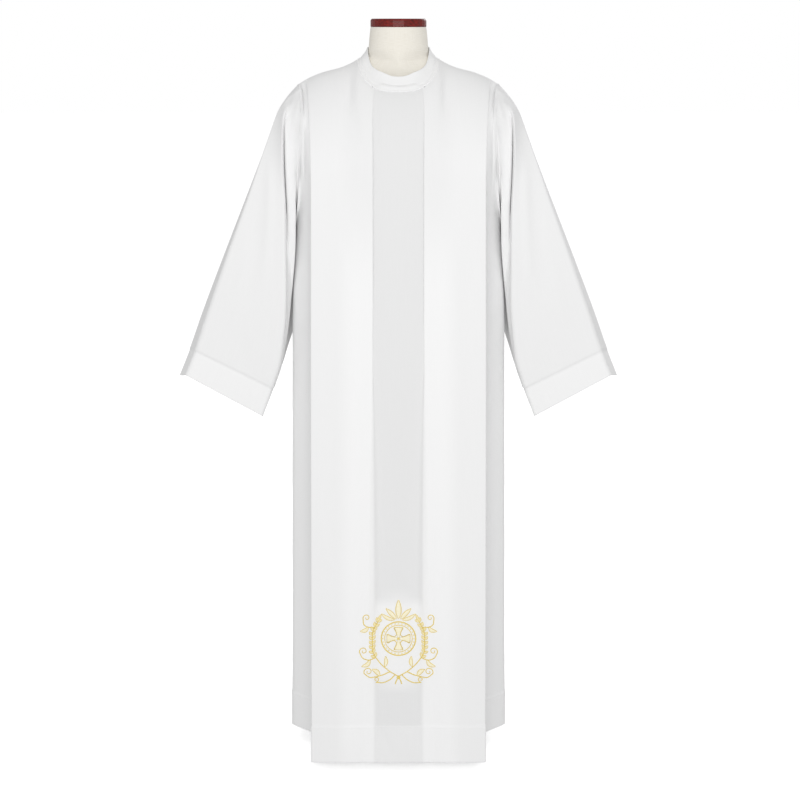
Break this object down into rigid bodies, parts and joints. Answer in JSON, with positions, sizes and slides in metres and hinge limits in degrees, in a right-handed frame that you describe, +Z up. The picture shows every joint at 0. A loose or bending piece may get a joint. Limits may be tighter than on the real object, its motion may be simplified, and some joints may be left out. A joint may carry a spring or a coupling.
{
  "type": "alb robe on a dress form",
  "caption": "Long white liturgical alb with pleated front, wide sleeves, stand collar and an embroidered panel, worn on a limbless linen dress form with a wooden neck cap.",
  "frame": {"origin": "centre of the stand base's underside, on the floor, under the middle of the garment", "axes": "+Z up, -Y the way the wearer faces, +X the wearer's left"},
  "size_m": [0.975, 0.429, 1.6212],
  "materials": {
    "white_cloth": "matt plain-woven polyester and cotton, pressed",
    "cream_linen": "plain-woven natural linen, stretched over the form",
    "red_mahogany": "red mahogany stain under gloss lacquer",
    "black_steel": "satin black powder coat"
  },
  "bodies": {
    "root": {"front": "white_cloth", "back": "white_cloth", "sleeve_left": "white_cloth", "sleeve_right": "white_cloth", "collar": "white_cloth", "form_body": "cream_linen", "neck_cap": "red_mahogany", "form_flange": "black_steel", "stand_pole": "black_steel", "stand_base": "black_steel"}
  },
  "joints": []
}
